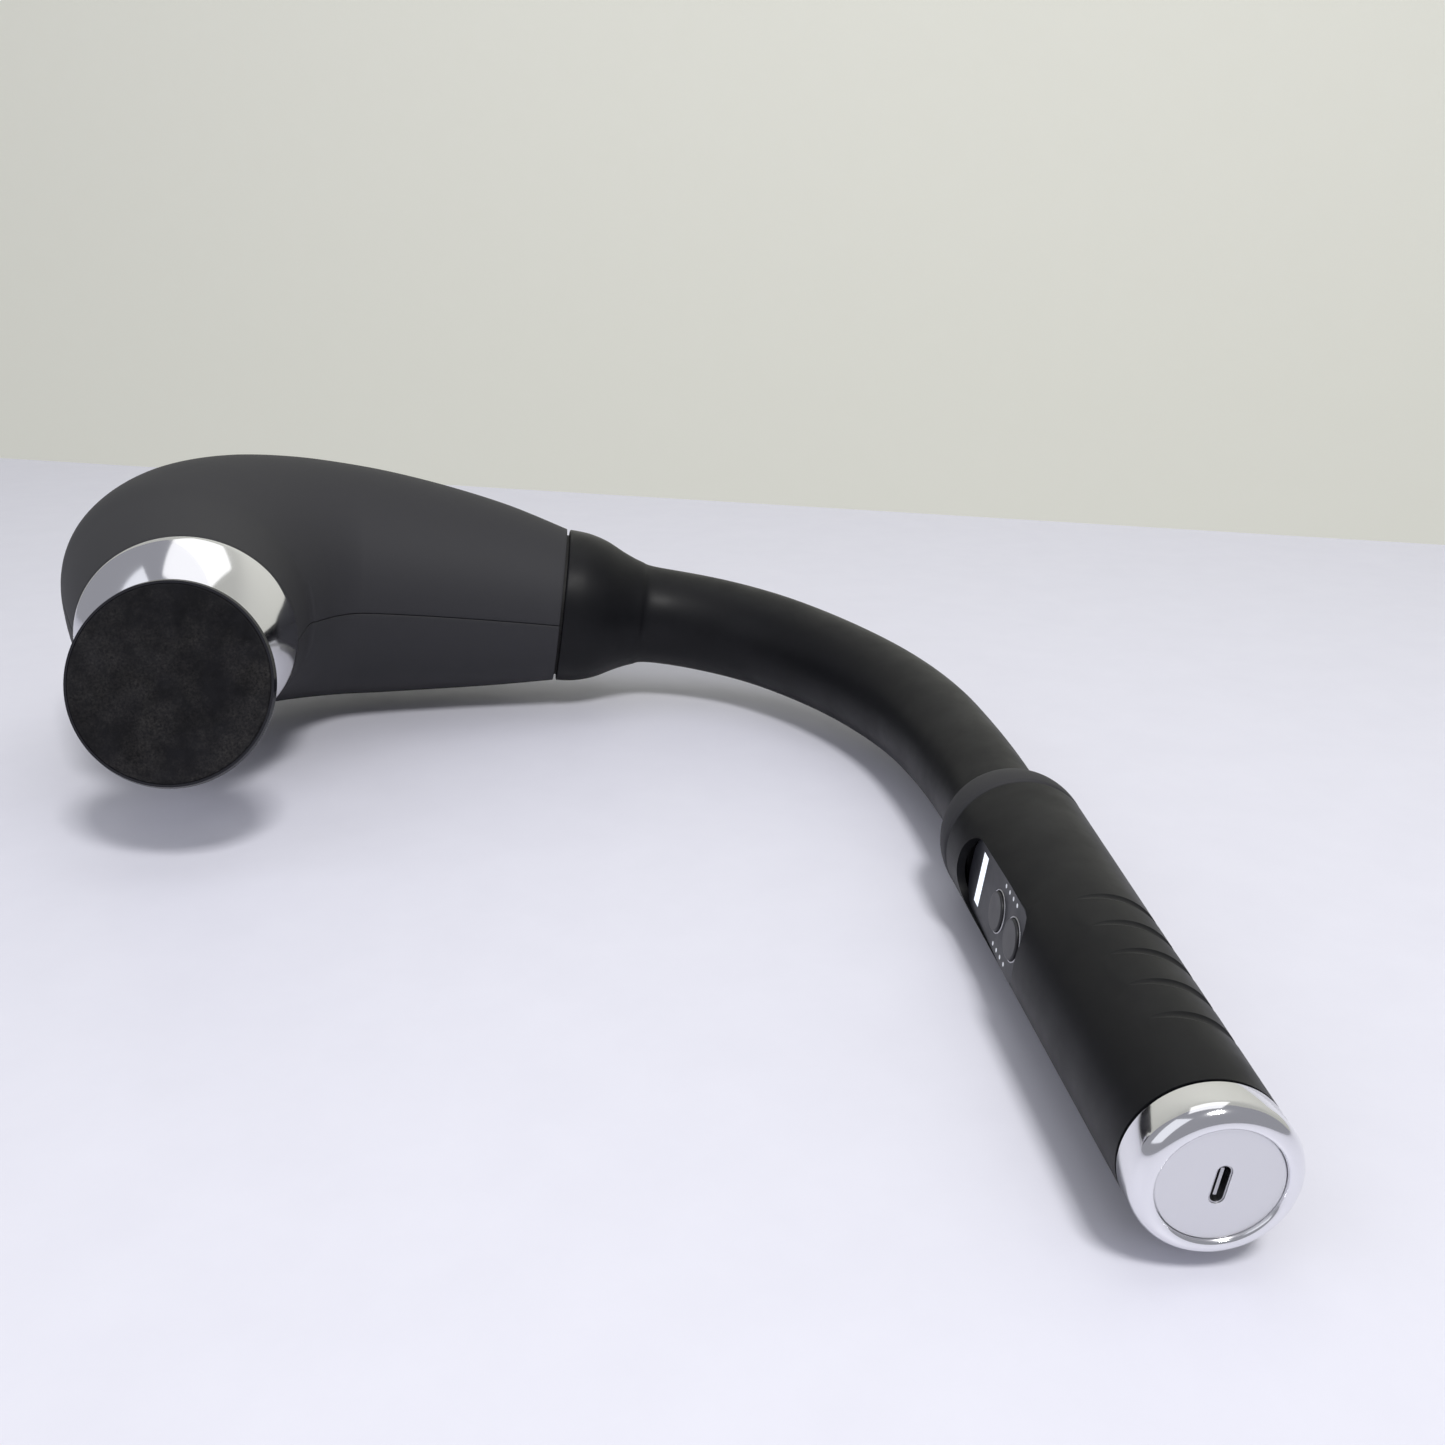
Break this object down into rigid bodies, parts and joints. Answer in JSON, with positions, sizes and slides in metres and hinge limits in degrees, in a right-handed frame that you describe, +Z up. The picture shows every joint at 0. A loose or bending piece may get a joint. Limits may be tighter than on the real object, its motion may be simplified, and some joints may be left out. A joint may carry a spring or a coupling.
{
  "type": "handheld massager",
  "caption": "Hook-shaped handheld massager: a thick elbow head with a percussion disc on a ball joint, a curved arm and a grip with keys.",
  "frame": {"origin": "Centre of the bounding box on the plane the massager lies on, at its lowest points.", "axes": "+Z up from the plane it lies on; -Y the way the disc and the grip end point; +X from the head towards the arm."},
  "size_m": [0.3482, 0.4179, 0.1088],
  "materials": {
    "shell_black": "satin moulded",
    "soft_black": "soft-touch overmould",
    "gloss_black": "polished",
    "pad_grey": "fine dusty matte",
    "chrome": "polished",
    "satin_plate": "satin",
    "steel": "ground",
    "zinc": "zinc plated",
    "brass": "machined",
    "alloy": "bead blasted",
    "nylon": "natural",
    "rubber": "moulded",
    "board_green": "solder mask",
    "switch_black": "moulded",
    "cell_wrap": "shrink sleeve",
    "tray": "moulded",
    "lens": "clear",
    "cable": "sheathed"
  },
  "bodies": {
    "body": {"head_shell_upper": "shell_black", "head_shell_lower": "shell_black", "head_screws": "zinc", "chrome_collar": "chrome", "collar_seal": "rubber", "front_bush": "brass", "wiper_seal": "rubber", "motor_can": "zinc", "motor_end_cap": "nylon", "motor_tabs": "brass", "motor_screws": "zinc", "drive_chassis": "alloy", "rear_bush": "brass", "shaft_bearing": "brass", "neck_flange": "switch_black", "arm_core": "alloy", "arm_sleeve": "soft_black", "wire_harness": "cable", "shoulder_collar": "shell_black", "shoulder_ring": "gloss_black", "grip_sleeve": "soft_black", "control_panel": "gloss_black", "display_bar": "lens", "indicator_lights": "lens", "control_board": "board_green", "button_switches": "switch_black", "battery_cells": "cell_wrap", "battery_cradle": "tray", "end_ring": "chrome", "end_plate": "satin_plate", "charge_port": "steel", "charge_board": "board_green"},
    "plunger_group": {"plunger": "steel", "wrist_pin": "steel", "ball_stud": "steel"},
    "rod_group": {"connecting_rod": "alloy", "rod_bearing": "brass", "crank_pin": "steel"},
    "crank_group": {"crank_wheel": "steel", "counterweight": "brass", "motor_shaft": "steel"},
    "liner_group": {"socket_liner": "nylon"},
    "disc_group": {"disc_base": "gloss_black", "disc_pad": "pad_grey", "socket_ring": "gloss_black", "socket_ring_screws": "zinc"},
    "speed_key": {"speed_button": "shell_black"},
    "power_key": {"power_button": "shell_black"}
  },
  "joints": [
    {"name": "crank_spin", "type": "hinge", "parent": "body", "child": "crank_group", "pos_m": [-0.12623, 0.14443, 0.06078], "axis": [0.9677, 0.2164, -0.129], "continuous": true},
    {"name": "plunger_slide", "type": "slide", "parent": "body", "child": "plunger_group", "axis": [0.2136, -0.9763, -0.0359], "range_m": [0, 0.01]},
    {"name": "rod_swing", "type": "hinge", "parent": "plunger_group", "child": "rod_group", "pos_m": [-0.12097, 0.09953, 0.05974], "axis": [0.9677, 0.2164, -0.129], "range_deg": [-5.7, 5.7]},
    {"name": "disc_pan", "type": "hinge", "parent": "plunger_group", "child": "liner_group", "pos_m": [-0.10207, 0.01313, 0.05657], "axis": [0.1337, -0.0072, 0.991], "range_deg": [-4.5, 43.5]},
    {"name": "disc_tilt", "type": "hinge", "parent": "liner_group", "child": "disc_group", "pos_m": [-0.10207, 0.01313, 0.05657], "axis": [0.9835, -0.1219, -0.1335], "range_deg": [-3, 45]},
    {"name": "speed_press", "type": "slide", "parent": "body", "child": "speed_key", "axis": [0.9893, -0.0584, -0.1338], "range_m": [0, 0.0006], "stiffness_N_per_m": 400},
    {"name": "power_press", "type": "slide", "parent": "body", "child": "power_key", "axis": [0.9893, -0.0584, -0.1338], "range_m": [0, 0.0006], "stiffness_N_per_m": 400}
  ]
}
